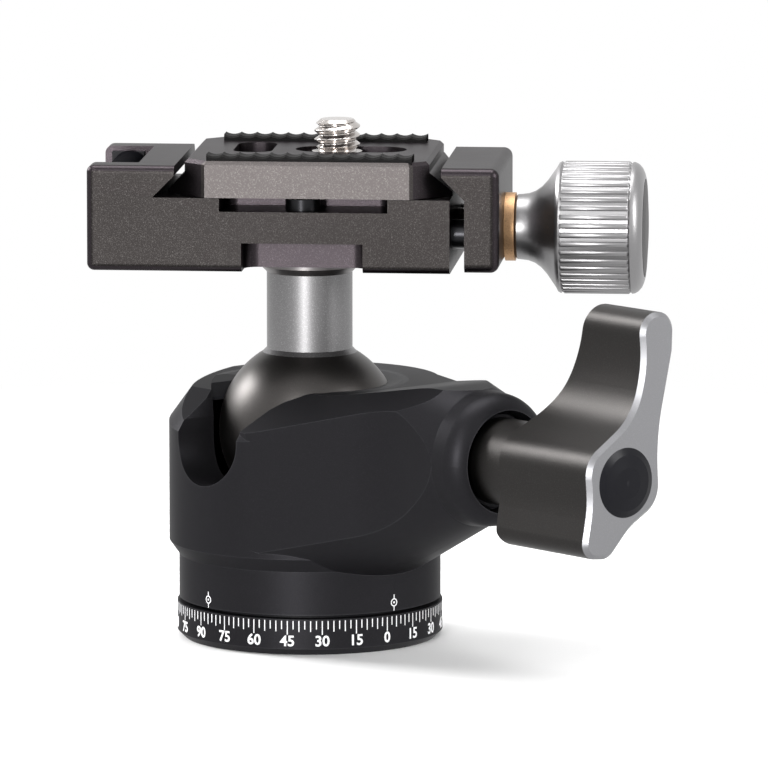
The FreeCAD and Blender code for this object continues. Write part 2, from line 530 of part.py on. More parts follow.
def make_clamp():
    land = "clamp_floor_height + fixed_flank"
    body = slab("clamp_outline", "XZ_Plane", [
        ("-clamp_left", "clamp_bottom_height"), ("clamp_right", "clamp_bottom_height"),
        ("clamp_right", "clamp_floor_height"), ("-fixed_tip", "clamp_floor_height"),
        ("fixed_flank - fixed_tip", land), ("fixed_flank - fixed_tip", "jaw_top_height"),
        ("-clamp_left", "jaw_top_height"),
    ], "-clamp_half_depth", "clamp_half_depth")
    left = -measure("clamp_left")
    bevelled = rounded("clamp_edges", body, "clamp_round_edge",
                       lambda edge: abs(middle(edge).x - left) < 0.01 or long_outer_edge(edge))
    tools = []
    for side, word in ((-1, "front"), (1, "back")):
        near = "( %d ) * ( clamp_half_depth + 1 )" % side
        for name, left_text, right_text, low_text, high_text, depth_text in (
                ("top", "-top_recess_left", "top_recess_right", "top_recess_floor", "jaw_top_height",
                 "top_recess_depth"),
                ("low", "-low_recess_left", "low_recess_right", "clamp_bottom_height - 1", "low_recess_top",
                 "low_recess_depth")):
            far = "( %d ) * ( clamp_half_depth - %s )" % (side, depth_text)
            ends = (near, far) if side < 0 else (far, near)
            recess = box_tool("clamp_%s_%s" % (name, word), left_text, right_text, ends[0], ends[1],
                              low_text, high_text)
            inner = measure(far)
            tools.append(rounded("clamp_%s_%s_round" % (name, word), recess, "recess_corner",
                                 lambda edge, y=inner: upright(edge) and abs(middle(edge).y - y) < 0.01))
        tools.append(rod("clamp_guide_%s" % word, "guide_radius + running_gap",
                         "guide_start - jaw_travel - 2 * running_gap",
                         "clamp_right + 5", "right", "0", "%d * guide_offset" % side, "knob_axis_height"))
        tools.append(rod("clamp_stop_%s" % word, "stop_screw_radius", "top_recess_floor - stop_depth",
                         "top_recess_floor + 1", "up", "0", "%d * stop_offset" % side))
    tools.append(rod("clamp_screw_hole", "clamp_spindle_radius + running_gap",
                     "clamp_spindle_start - jaw_travel - 2 * running_gap",
                     "clamp_right + 5", "right", "0", "0", "knob_axis_height"))
    tools.append(rod("clamp_stem_hole", "stem_screw_radius + running_gap", "clamp_bottom_height - 1",
                     "clamp_floor_height"))
    tools.append(rod("clamp_stem_sink", "stem_head_radius + running_gap",
                     "clamp_floor_height - stem_head_height - 0.3", "clamp_floor_height + 5"))
    tools.append(box_tool("clamp_level_pocket", "-( clamp_left + 1 )", "level_pocket_reach - clamp_left",
                          "-level_pocket_half", "level_pocket_half", "jaw_top_height - level_pocket_depth",
                          "jaw_top_height + 1"))
    keep(cut("clamp_body", bevelled, *tools), "clamp_body")
    keep(rod("level", "level_radius", "-level_half_length", "level_half_length", "back",
             "level_inset - clamp_left", "0", "jaw_top_height - level_drop"), "level_tube")
    for side, word in ((-1, "front"), (1, "back")):
        far = "%d * level_half_length" % side
        near = "%d * level_pocket_half" % side
        ends = (near, far) if side < 0 else (far, near)
        keep(box_tool("level_end_" + word, "level_inset - clamp_left - level_radius",
                      "level_inset - clamp_left + level_radius - 0.7", ends[0], ends[1],
                      "jaw_top_height - level_pocket_depth", "jaw_top_height - 0.7"), "level_holder_" + word)
        keep(turned("stop_screw_%s" % word, [
            ("0", "top_recess_floor - stop_depth"), ("stop_screw_radius", "top_recess_floor - stop_depth"),
            ("stop_screw_radius", "top_recess_floor"), ("stop_head_radius", "top_recess_floor"),
            ("stop_head_radius", "top_recess_floor + stop_head_height"),
            ("0", "top_recess_floor + stop_head_height"),
        ], "up", "0", "%d * stop_offset" % side), "stop_screw_" + word)


def make_moving_jaw():
    inner = "clamp_right + jaw_gap"
    flank = "clamp_floor_height + moving_flank"
    jaw = slab("jaw_outline", "XZ_Plane", [
        (inner, "clamp_bottom_height + jaw_lift"), ("moving_jaw_right", "clamp_bottom_height + jaw_lift"),
        ("moving_jaw_right", "jaw_top_height"), ("moving_tip - moving_flank", "jaw_top_height"),
        ("moving_tip - moving_flank", flank), ("moving_tip", "clamp_floor_height"),
        (inner, "clamp_floor_height"),
    ], "-clamp_half_depth", "clamp_half_depth")
    right = measure("moving_jaw_right")
    softened = rounded("jaw_round", jaw, "moving_jaw_corner",
                       lambda edge: abs(middle(edge).x - right) < 0.01 or long_outer_edge(edge))
    tools = [rod("jaw_screw_hole", "clamp_spindle_radius + running_gap", "clamp_right", "knob_start", "right",
                 "0", "0", "knob_axis_height")]
    for side, word in ((-1, "front"), (1, "back")):
        place = ("0", "%d * guide_offset" % side, "knob_axis_height")
        tools.append(rod("jaw_guide_hole_" + word, "guide_radius", "clamp_right", "guide_end", "right", *place))
        keep(rod("guide_" + word, "guide_radius", "guide_start", "guide_end", "right", *place),
             "guide_pin_" + word)
    keep(cut("moving_jaw", softened, *tools), "moving_jaw")


def make_knob():
    place = ("0", "0", "knob_axis_height")
    keep(rod("clamp_spindle", "clamp_spindle_radius", "clamp_spindle_start", "knob_end - 4", "right", *place),
         "clamp_spindle")
    keep(sleeve("knob_washer", "clamp_spindle_radius + running_gap", "washer_radius",
                "moving_jaw_right + seat_gap", "knob_start - seat_gap", "right", *place), "knob_washer")
    keep(turned("knob", [
        ("clamp_spindle_radius", "knob_start"), ("knob_neck_radius", "knob_start"),
        ("knob_neck_radius + 0.35", "knob_start + 1.6"), ("knob_neck_radius + 1.2", "knob_start + 3.3"),
        ("knob_flare_radius", "knob_start + 4.9"), ("knob_radius", "knob_grip_start"),
        ("knob_radius", "knob_grip_end"), ("knob_radius - 0.3", "knob_grip_end + 0.9"),
        ("knob_radius - 1.1", "knob_grip_end + 1.6"), ("knob_cap_radius + 0.5", "knob_end"),
        ("knob_cap_radius", "knob_end"),
        ("knob_cap_radius", "knob_end - knob_cap_height"), ("0", "knob_end - knob_cap_height"),
        ("0", "knob_end - 4"), ("clamp_spindle_radius", "knob_end - 4"),
    ], "right", *place), "clamp_knob")
    keep(turned("knob_cap", [
        ("0", "knob_end - knob_cap_height"), ("knob_cap_radius", "knob_end - knob_cap_height"),
        ("knob_cap_radius", "knob_end + 0.05"), ("knob_cap_radius * 0.6", "knob_end + 0.25"),
        ("0", "knob_end + 0.35"),
    ], "right", *place), "knob_cap")


# The plate: dovetail foot, chamfered top, two holes, two pads and the camera screw in its slot.
def make_plate():
    foot = "plate_bottom_height + plate_foot_edge"
    left_shoulder = foot + " + plate_foot_left - plate_left"
    right_shoulder = foot + " + plate_foot_right - plate_right"
    body = slab("plate_outline", "XZ_Plane", [
        ("-plate_foot_left", "plate_bottom_height"), ("plate_foot_right", "plate_bottom_height"),
        ("plate_foot_right", foot), ("plate_right", right_shoulder),
        ("plate_right", "plate_top_height"), ("-plate_left", "plate_top_height"),
        ("-plate_left", left_shoulder), ("-plate_foot_left", foot),
    ], "-plate_back", "plate_front")
    corner = "plate_corner"
    plan = slab("plate_plan", "XY_Plane", [
        ("-plate_foot_left", "%s - plate_front" % corner), ("%s - plate_foot_left" % corner, "-plate_front"),
        ("plate_foot_right - " + corner, "-plate_front"), ("plate_foot_right", "%s - plate_front" % corner),
        ("plate_foot_right", "plate_back - " + corner), ("plate_foot_right - " + corner, "plate_back"),
        ("%s - plate_foot_left" % corner, "plate_back"), ("-plate_foot_left", "plate_back - " + corner),
    ], "plate_bottom_height - 1", "plate_top_height + 1")
    blank = common("plate_blank", body, plan)
    high = measure("plate_top_height")
    bevelled = rounded("plate_edges", blank, "plate_bevel",
                       lambda edge: abs(edge.BoundBox.ZMin - high) < 0.01 and abs(edge.BoundBox.ZMax - high) < 0.01,
                       "Chamfer")
    slot = slot_tool("plate_slot", "slot_left", "slot_right", "slot_width", "slot_centre",
                     "plate_bottom_height - 1", "plate_top_height + 1")
    step = slot_tool("plate_step", "slot_left + slot_step_end", "slot_right + slot_step_end",
                     "slot_step_width", "slot_centre", "plate_bottom_height - 1",
                     "plate_bottom_height + slot_step_depth")
    key = box_tool("plate_key_hole", "-( key_hole_centre + key_hole_width / 2 )",
                   "key_hole_width / 2 - key_hole_centre", "key_hole_offset - key_hole_length / 2",
                   "key_hole_offset + key_hole_length / 2", "plate_bottom_height - 1", "plate_top_height + 1")
    key_round = rounded("plate_key_round", key, "key_hole_width * 0.42", upright)
    grooves = [pad_blank("pad_groove_" + word, centre, "plate_top_height - pad_sink", "plate_top_height + 1")
               for word, centre in PADS]
    keep(cut("plate", bevelled, slot, step, key_round, *grooves), "plate")
    for word, centre in PADS:
        hole = rod("pad_slot_" + word, "screw_radius + 0.9", "plate_bottom_height", SCREW_TOP, "up",
                   "screw_centre", "slot_centre")
        pad = pad_blank("pad_blank_" + word, centre, "plate_top_height - pad_sink", "plate_top_height + pad_height")
        keep(cut("pad_" + word, pad, hole), "plate_pad_" + word)


SCREW_TOP = "plate_top_height + screw_reach"
PADS = (("front", "-front_pad_centre"), ("back", "back_pad_centre"))


def pad_blank(name, centre, low, high):
    return box_tool(name, "-pad_left", "pad_right", centre + " - pad_width / 2", centre + " + pad_width / 2",
                    low, high)


def slot_tool(name, left, right, width, centre, low, high):
    """A straight slot along X with round ends."""
    middle_box = box_tool(name + "_box", "%s / 2 - ( %s )" % (width, left), "%s - %s / 2" % (right, width),
                          "%s - %s / 2" % (centre, width), "%s + %s / 2" % (centre, width), low, high)
    ends = [rod(name + "_left", width + " / 2", low, high, "up", "%s / 2 - ( %s )" % (width, left), centre),
            rod(name + "_right", width + " / 2", low, high, "up", "%s - %s / 2" % (right, width), centre)]
    return fuse(name, middle_box, *ends)


def make_camera_screw():
    place = ("screw_centre", "slot_centre")
    head_top = "plate_bottom_height + slot_step_depth - seat_gap"
    groove = "plate_top_height + 0.1"
    shaft = turned("camera_screw_blank", [
        ("0", head_top + " - screw_head_height"), ("screw_head_radius", head_top + " - screw_head_height"),
        ("screw_head_radius", head_top), ("screw_groove_radius", head_top), ("screw_groove_radius", groove),
        ("screw_radius", groove), ("screw_radius", SCREW_TOP + " - screw_bevel"),
        ("screw_radius - screw_bevel", SCREW_TOP), ("0", SCREW_TOP),
    ], "up", *place)
    coin = box_tool("coin_slot", "-10", "30", "slot_centre - coin_slot_width / 2",
                    "slot_centre + coin_slot_width / 2", head_top + " - screw_head_height - 1",
                    head_top + " - screw_head_height + coin_slot_depth")
    keep(cut("camera_screw", shaft, coin), "camera_screw")
    keep(sleeve("screw_clip", "screw_groove_radius + running_gap", "slot_width / 2 - running_gap",
                groove + " - clip_thickness - 0.3", groove + " - seat_gap - 0.3", "up", *place), "screw_clip")


make_base()
make_housing()
make_ball_bearings()
make_lock()
make_stem()
make_clamp()
make_moving_jaw()
make_knob()
make_plate()
make_camera_screw()
DOC.recompute()

faults = [item.Name for item in DOC.Objects if "Invalid" in item.State or "Error" in item.State]
faults += [node.Label for node in NODES if node.Shape.isNull() or not node.Shape.isValid()]
faults += [node.Label for node in NODES if len(node.Shape.Solids) != 1]
if faults:
    raise SystemExit("not built: " + ", ".join(faults))
for node in NODES:
    node.Shape.exportStep("parts/%s.step" % node.Label)
    print(node.Label, round(node.Shape.Volume, 1))
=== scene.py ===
import math
import bmesh
import bpy
from mathutils import Matrix, Vector


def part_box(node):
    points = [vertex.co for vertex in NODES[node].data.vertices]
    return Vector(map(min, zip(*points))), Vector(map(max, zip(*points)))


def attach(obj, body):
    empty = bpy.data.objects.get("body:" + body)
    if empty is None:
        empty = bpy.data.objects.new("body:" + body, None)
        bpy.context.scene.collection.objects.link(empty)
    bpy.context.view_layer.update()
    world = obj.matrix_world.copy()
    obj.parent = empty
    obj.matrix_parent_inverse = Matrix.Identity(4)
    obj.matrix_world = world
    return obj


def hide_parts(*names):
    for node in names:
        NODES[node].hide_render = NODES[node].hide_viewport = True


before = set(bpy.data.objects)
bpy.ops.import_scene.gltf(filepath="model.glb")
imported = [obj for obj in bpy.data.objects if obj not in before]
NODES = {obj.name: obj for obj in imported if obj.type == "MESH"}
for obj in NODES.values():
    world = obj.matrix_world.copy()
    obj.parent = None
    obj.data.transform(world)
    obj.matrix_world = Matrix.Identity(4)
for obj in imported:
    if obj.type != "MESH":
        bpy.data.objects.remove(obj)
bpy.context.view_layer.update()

MM = 0.001

# Places on the part, in metres. The front of the photograph is -Y, and azimuths are from +X.
RING_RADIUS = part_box("base_disc")[1].x
FOOT_RADIUS = 18.05 * MM
LEVER_AZIMUTH = math.radians(-44.4)
LEVER_OUT = Vector((math.cos(LEVER_AZIMUTH), math.sin(LEVER_AZIMUTH), 0))
LEVER_END_FACE = 64.35 * MM
NECK_FLANGE_HEIGHT = 50.5 * MM
CLAMP_FACE = 13.43 * MM
PLATE_FACE = -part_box("plate")[0].y - 0.5 * MM
KNOB_AXIS_HEIGHT = 57.0 * MM


# Node tree helpers

def new_material(name):
    """A node material, its tree and its Principled shader."""
    material = bpy.data.materials.new(name)
    material.use_nodes = True
    tree = material.node_tree
    return material, tree, tree.nodes["Principled BSDF"]


def put(tree, kind, **values):
    """Add a node and set its properties or its inputs' constant values."""
    node = tree.nodes.new(kind)
    for name, value in values.items():
        if hasattr(node, name):
            setattr(node, name, value)
        else:
            node.inputs[name.replace("_", " ")].default_value = value
    return node


def math_node(tree, operation, first, second):
    """A maths node between two sockets or numbers; returns its output."""
    node = put(tree, "ShaderNodeMath", operation=operation)
    for slot, value in enumerate((first, second)):
        if isinstance(value, (int, float)):
            node.inputs[slot].default_value = value
        else:
            tree.links.new(value, node.inputs[slot])
    return node.outputs["Value"]


def group_tree(name, inputs, outputs):
    """A shader node group with named inputs and their defaults, and named outputs."""
    tree = bpy.data.node_groups.new(name, "ShaderNodeTree")
    for title, value in inputs:
        kind = "NodeSocketColor" if isinstance(value, tuple) else "NodeSocketFloat"
        socket = tree.interface.new_socket(title, in_out="INPUT", socket_type=kind)
        socket.default_value = value
    for title, kind in outputs:
        tree.interface.new_socket(title, in_out="OUTPUT", socket_type=kind)
    return tree, tree.nodes.new("NodeGroupInput"), tree.nodes.new("NodeGroupOutput")


def blasted_group():
    """A blasted or moulded surface: fine grain in colour and height, soft clouds in roughness."""
    tree, given, result = group_tree("Blasted surface", [
        ("Base", (0.1, 0.1, 0.1, 1.0)), ("Fleck", (0.3, 0.3, 0.3, 1.0)), ("Fleck amount", 0.3),
        ("Grain scale", 3000.0), ("Roughness", 0.4), ("Roughness spread", 0.1), ("Cloud scale", 60.0),
    ], [("Color", "NodeSocketColor"), ("Roughness", "NodeSocketFloat"), ("Height", "NodeSocketFloat")])
    link = tree.links.new
    place = put(tree, "ShaderNodeTexCoord")
    grain = put(tree, "ShaderNodeTexNoise", Detail=3.0, Roughness=0.6)
    clouds = put(tree, "ShaderNodeTexNoise", Detail=2.0)
    link(place.outputs["Object"], grain.inputs["Vector"])
    link(place.outputs["Object"], clouds.inputs["Vector"])
    link(given.outputs["Grain scale"], grain.inputs["Scale"])
    link(given.outputs["Cloud scale"], clouds.inputs["Scale"])
    sparks = put(tree, "ShaderNodeMapRange", From_Min=0.52, From_Max=0.72)
    link(grain.outputs["Fac"], sparks.inputs["Value"])
    strength = put(tree, "ShaderNodeMath", operation="MULTIPLY")
    link(sparks.outputs["Result"], strength.inputs[0])
    link(given.outputs["Fleck amount"], strength.inputs[1])
    mixed = put(tree, "ShaderNodeMix", data_type="RGBA")
    link(strength.outputs["Value"], mixed.inputs["Factor"])
    link(given.outputs["Base"], mixed.inputs["A"])
    link(given.outputs["Fleck"], mixed.inputs["B"])
    spread = put(tree, "ShaderNodeMath", operation="MULTIPLY_ADD")
    centred = put(tree, "ShaderNodeMath", operation="SUBTRACT")
    centred.inputs[1].default_value = 0.5
    link(clouds.outputs["Fac"], centred.inputs[0])
    link(centred.outputs["Value"], spread.inputs[0])
    link(given.outputs["Roughness spread"], spread.inputs[1])
    link(given.outputs["Roughness"], spread.inputs[2])
    link(mixed.outputs["Result"], result.inputs["Color"])
    link(spread.outputs["Value"], result.inputs["Roughness"])
    link(grain.outputs["Fac"], result.inputs["Height"])
    return tree


def edge_group():
    """Edges: a mask that rises to the amount on edges and is 0 on flat stretches."""
    tree, given, result = group_tree("Edge wear", [("Width", 0.0003), ("Amount", 0.5)],
                                     [("Mask", "NodeSocketFloat")])
    link = tree.links.new
    bevel = put(tree, "ShaderNodeBevel", samples=4)
    link(given.outputs["Width"], bevel.inputs["Radius"])
    shape = put(tree, "ShaderNodeNewGeometry")
    dot = put(tree, "ShaderNodeVectorMath", operation="DOT_PRODUCT")
    link(bevel.outputs["Normal"], dot.inputs[0])
    link(shape.outputs["Normal"], dot.inputs[1])
    turned = put(tree, "ShaderNodeMapRange", From_Min=0.995, From_Max=0.9, To_Min=0.0, To_Max=1.0)
    link(dot.outputs["Value"], turned.inputs["Value"])
    amount = put(tree, "ShaderNodeMath", operation="MULTIPLY")
    link(turned.outputs["Result"], amount.inputs[0])
    link(given.outputs["Amount"], amount.inputs[1])
    link(amount.outputs["Value"], result.inputs["Mask"])
    return tree


BLASTED = blasted_group()
EDGES = edge_group()


def blasted(name, base, fleck, fleck_amount, grain_scale, roughness, metallic=1.0, bump=0.15,
            spread=0.1, specular=0.5, edge_tint=1.0, edge=None):
    """A material on the blasted surface; edge is a colour, a width and an amount for its edges."""
    material, tree, shader = new_material(name)
    link = tree.links.new
    surface = put(tree, "ShaderNodeGroup", node_tree=BLASTED)
    surface.inputs["Base"].default_value = (*base, 1.0)
    surface.inputs["Fleck"].default_value = (*fleck, 1.0)
    surface.inputs["Fleck amount"].default_value = fleck_amount
    surface.inputs["Grain scale"].default_value = grain_scale
    surface.inputs["Roughness"].default_value = roughness
    surface.inputs["Roughness spread"].default_value = spread
    shader.inputs["Metallic"].default_value = metallic
    shader.inputs["Specular IOR Level"].default_value = specular
    shader.inputs["Specular Tint"].default_value = (edge_tint, edge_tint, edge_tint, 1.0)
    colour = surface.outputs["Color"]
    if edge:
        edge_colour, width, amount = edge
        wear = put(tree, "ShaderNodeGroup", node_tree=EDGES)
        wear.inputs["Width"].default_value = width
        wear.inputs["Amount"].default_value = amount
        mixed = put(tree, "ShaderNodeMix", data_type="RGBA")
        mixed.inputs["B"].default_value = (*edge_colour, 1.0)
        link(wear.outputs["Mask"], mixed.inputs["Factor"])
        link(colour, mixed.inputs["A"])
        colour = mixed.outputs["Result"]
    link(colour, shader.inputs["Base Color"])
    link(surface.outputs["Roughness"], shader.inputs["Roughness"])
    height = put(tree, "ShaderNodeBump", Strength=bump, Distance=0.00003)
    link(surface.outputs["Height"], height.inputs["Height"])
    link(height.outputs["Normal"], shader.inputs["Normal"])
    return material


def region_metal(name, axis, start, fade, plain, special, mirrored=False, edge_tint=1.0,
                 grain_scale=7000.0, fleck_amount=0.35, bump=0.08):
    """A metal that changes beyond a place along an axis, or along both ways if mirrored.

    The plain and the special tone are each a colour, a fleck colour and a roughness.
    """
    material, tree, shader = new_material(name)
    link = tree.links.new
    place = put(tree, "ShaderNodeTexCoord")
    along = put(tree, "ShaderNodeVectorMath", operation="DOT_PRODUCT")
    along.inputs[1].default_value = axis
    link(place.outputs["Object"], along.inputs[0])
    mask = put(tree, "ShaderNodeMapRange", From_Min=start, From_Max=start + fade)
    reach = along.outputs["Value"]
    if mirrored:
        reach = math_node(tree, "ABSOLUTE", reach, 0.0)
    link(reach, mask.inputs["Value"])
    tones = []
    for colour, fleck, roughness in (plain, special):
        surface = put(tree, "ShaderNodeGroup", node_tree=BLASTED)
        surface.inputs["Base"].default_value = (*colour, 1.0)
        surface.inputs["Fleck"].default_value = (*fleck, 1.0)
        surface.inputs["Grain scale"].default_value = grain_scale
        surface.inputs["Fleck amount"].default_value = fleck_amount
        surface.inputs["Roughness"].default_value = roughness
        tones.append(surface)
    colour = put(tree, "ShaderNodeMix", data_type="RGBA")
    rough = put(tree, "ShaderNodeMix", data_type="FLOAT")
    for mix, output in ((colour, "Color"), (rough, "Roughness")):
        link(mask.outputs["Result"], mix.inputs["Factor"])
        link(tones[0].outputs[output], mix.inputs["A"])
        link(tones[1].outputs[output], mix.inputs["B"])
    link(colour.outputs["Result"], shader.inputs["Base Color"])
    link(rough.outputs["Result"], shader.inputs["Roughness"])
    height = put(tree, "ShaderNodeBump", Strength=bump, Distance=0.00003)
    link(tones[0].outputs["Height"], height.inputs["Height"])
    link(height.outputs["Normal"], shader.inputs["Normal"])
    shader.inputs["Metallic"].default_value = 1.0
    shader.inputs["Specular Tint"].default_value = (edge_tint, edge_tint, edge_tint, 1.0)
    return material


FINISHES = {
    "black": blasted("Black anodised", (0.017, 0.0165, 0.0185), (0.04, 0.039, 0.044), 0.3, 9000.0, 0.42,
                     metallic=0.6, bump=0.25, specular=0.1, edge_tint=0.5,
                     edge=((0.06, 0.06, 0.065), 0.00025, 0.5)),
    # Painted shade: the clamp body's and moving jaw's front and back faces get a darker tone than their
    # other faces, set to how these faces look in the light; their roughness differs too.
    "clamp": region_metal("Clamp grey", (0, 1, 0), CLAMP_FACE, 0.03 * MM,
                          ((0.032, 0.027, 0.03), (0.08, 0.07, 0.075), 0.34),
                          ((0.02, 0.018, 0.0175), (0.085, 0.08, 0.077), 0.42), mirrored=True,
                          edge_tint=0.65, grain_scale=6500.0, fleck_amount=0.5, bump=0.35),
    # Painted light: the plate's front and back faces get a lighter tone than its other faces, set to how lit
    # these faces look; their roughness differs too.
    "plate": region_metal("Plate grey", (0, 1, 0), PLATE_FACE, 0.03 * MM,
                          ((0.04, 0.034, 0.0375), (0.09, 0.081, 0.084), 0.36),
                          ((0.06, 0.054, 0.053), (0.16, 0.15, 0.145), 0.4), mirrored=True,
                          edge_tint=0.65, grain_scale=6500.0, fleck_amount=0.5, bump=0.35),
    "ball": blasted("Ball satin", (0.062, 0.058, 0.056), (0.12, 0.115, 0.11), 0.3, 9000.0, 0.38,
                    bump=0.05),
    "lever": region_metal("Lever satin", LEVER_OUT, LEVER_END_FACE, 0.1 * MM,
                          ((0.034, 0.032, 0.031), (0.08, 0.076, 0.073), 0.38),
                          ((0.25, 0.25, 0.26), (0.36, 0.36, 0.37), 0.38)),
    "neck": region_metal("Neck silver", (0, 0, 1), NECK_FLANGE_HEIGHT, 0.1 * MM,
                         ((0.2, 0.197, 0.2), (0.55, 0.55, 0.55), 0.38),
                         ((0.16, 0.15, 0.15), (0.25, 0.25, 0.25), 0.35), bump=0.2),
    "knob": blasted("Knob silver", (0.27, 0.266, 0.27), (0.42, 0.42, 0.42), 0.3, 8000.0, 0.36,
                    bump=0.05),
    "steel": blasted("Bright steel", (0.5, 0.47, 0.45), (0.62, 0.6, 0.58), 0.2, 6000.0, 0.2,
                     bump=0.04),
    "dark_steel": blasted("Blackened steel", (0.02, 0.02, 0.022), (0.05, 0.05, 0.05), 0.2, 6000.0, 0.3,
                          metallic=0.9, bump=0.04),
    "bronze": blasted("Bronze washer", (0.5, 0.31, 0.17), (0.22, 0.13, 0.07), 0.7, 5000.0, 0.48,
                      bump=0.5),
    "nylon": blasted("Dark nylon", (0.012, 0.012, 0.014), (0.03, 0.03, 0.032), 0.3, 4500.0, 0.5,
                     metallic=0.0, bump=0.1, specular=0.15),
    "rubber": blasted("Pad rubber", (0.006, 0.0055, 0.0055), (0.02, 0.02, 0.02), 0.5, 5000.0, 0.75,
                      metallic=0.0, bump=0.9, specular=0.12),
    "cap": blasted("Gloss cap", (0.006, 0.006, 0.008), (0.012, 0.012, 0.014), 0.2, 2000.0, 0.28,
                   metallic=0.0, bump=0.02, spread=0.05, specular=0.12),
    "tube": blasted("Tinted tube", (0.014, 0.014, 0.017), (0.025, 0.025, 0.03), 0.2, 1500.0, 0.45,
                    bump=0.02, spread=0.04, edge_tint=0.12),
}

NODE_FINISH = {
    "base_disc": "black", "thread_insert": "steel", "pan_slide_ring": "nylon", "pan_retainer": "steel",
    "pan_screw_1": "steel", "pan_screw_2": "steel", "pan_screw_3": "steel", "housing": "black",
    "ball_collar": "nylon", "ball_seat": "nylon", "seat_spring": "steel", "lock_bush": "bronze",
    "lock_plunger": "nylon", "lock_spindle": "steel", "lever_washer": "nylon", "lever": "lever",
    "lever_screw": "steel", "lever_cap": "cap", "ball": "ball", "neck": "neck", "stem_screw": "steel",
    "clamp_body": "clamp", "level_tube": "tube", "level_holder_front": "nylon", "level_holder_back": "nylon",
    "stop_screw_front": "dark_steel", "stop_screw_back": "dark_steel",
    "guide_pin_front": "dark_steel", "guide_pin_back": "dark_steel", "moving_jaw": "clamp",
    "clamp_spindle": "steel", "knob_washer": "bronze",
    "clamp_knob": "knob", "knob_cap": "clamp", "plate": "plate", "plate_pad_front": "rubber",
    "plate_pad_back": "rubber", "camera_screw": "steel", "screw_clip": "steel",
}


def dress_nodes():
    """Give every carried-over node its finish."""
    for name, node in NODES.items():
        node.data.materials.clear()
        node.data.materials.append(FINISHES[NODE_FINISH[name]])


dress_nodes()


# Pieces that repeat are laid out by Geometry Nodes and turned into plain meshes.

def nodes_tree(name, inputs):
    """A geometry node group with a mesh going in and out and named sizes."""
    tree = bpy.data.node_groups.new(name, "GeometryNodeTree")
    tree.interface.new_socket("Geometry", in_out="INPUT", socket_type="NodeSocketGeometry")
    for title, kind, value in inputs:
        socket = tree.interface.new_socket(title, in_out="INPUT", socket_type=kind)
        socket.default_value = value
    tree.interface.new_socket("Material", in_out="INPUT", socket_type="NodeSocketMaterial")
    tree.interface.new_socket("Geometry", in_out="OUTPUT", socket_type="NodeSocketGeometry")
    return tree, tree.nodes.new("NodeGroupInput"), tree.nodes.new("NodeGroupOutput")


def finish_copies(tree, given, result, copies):
    """End a tree: real meshes in one material."""
    link = tree.links.new
    real = put(tree, "GeometryNodeRealizeInstances")
    paint = put(tree, "GeometryNodeSetMaterial")
    link(copies, real.inputs["Geometry"])
    link(real.outputs["Geometry"], paint.inputs["Geometry"])
    link(given.outputs["Material"], paint.inputs["Material"])
    link(paint.outputs["Geometry"], result.inputs["Geometry"])


def ring_tree():
    """Copies of one part spaced round the Z axis; every n-th copy is longer in Z."""
    tree, given, result = nodes_tree("Copies round a ring", [
        ("Count", "NodeSocketInt", 12), ("Radius", "NodeSocketFloat", 0.01),
        ("Second step", "NodeSocketInt", 1), ("Third step", "NodeSocketInt", 1),
        ("Second length", "NodeSocketFloat", 1.0), ("Third length", "NodeSocketFloat", 1.0),
    ])
    link = tree.links.new
    circle = put(tree, "GeometryNodeMeshCircle")
    link(given.outputs["Count"], circle.inputs["Vertices"])
    link(given.outputs["Radius"], circle.inputs["Radius"])
    index = put(tree, "GeometryNodeInputIndex").outputs["Index"]
    step = math_node(tree, "DIVIDE", 2 * math.pi, given.outputs["Count"])
    turn = put(tree, "ShaderNodeCombineXYZ")
    link(math_node(tree, "MULTIPLY", index, step), turn.inputs["Z"])
    second = math_node(tree, "COMPARE", math_node(tree, "MODULO", index, given.outputs["Second step"]), 0.0)
    third = math_node(tree, "COMPARE", math_node(tree, "MODULO", index, given.outputs["Third step"]), 0.0)
    first_step = math_node(tree, "SUBTRACT", given.outputs["Second length"], 1.0)
    longer = math_node(tree, "MULTIPLY", second, first_step)
    step_up = math_node(tree, "SUBTRACT", given.outputs["Third length"], given.outputs["Second length"])
    longest = math_node(tree, "MULTIPLY", third, step_up)
    length = math_node(tree, "ADD", math_node(tree, "ADD", longer, longest), 1.0)
    size = put(tree, "ShaderNodeCombineXYZ", X=1.0, Y=1.0)
    link(length, size.inputs["Z"])
    copies = put(tree, "GeometryNodeInstanceOnPoints")
    link(circle.outputs["Mesh"], copies.inputs["Points"])
    link(given.outputs["Geometry"], copies.inputs["Instance"])
    link(turn.outputs["Vector"], copies.inputs["Rotation"])
    link(size.outputs["Vector"], copies.inputs["Scale"])
    finish_copies(tree, given, result, copies.outputs["Instances"])
    return tree


def row_tree():
    """Copies of one part in a straight row along X."""
    tree, given, result = nodes_tree("Copies in a row", [
        ("Count", "NodeSocketInt", 12), ("Step", "NodeSocketFloat", 0.002),
    ])
    link = tree.links.new
    offset = put(tree, "ShaderNodeCombineXYZ")
    link(given.outputs["Step"], offset.inputs["X"])
    line = put(tree, "GeometryNodeMeshLine")
    link(given.outputs["Count"], line.inputs["Count"])
    link(offset.outputs["Vector"], line.inputs["Offset"])
    copies = put(tree, "GeometryNodeInstanceOnPoints")
    link(line.outputs["Mesh"], copies.inputs["Points"])
    link(given.outputs["Geometry"], copies.inputs["Instance"])
    finish_copies(tree, given, result, copies.outputs["Instances"])
    return tree


RING = ring_tree()
ROW = row_tree()


def linked_object(name, mesh):
    """An object in the scene for a mesh, curve, lamp or camera."""
    thing = bpy.data.objects.new(name, mesh)
    bpy.context.scene.collection.objects.link(thing)
    return thing


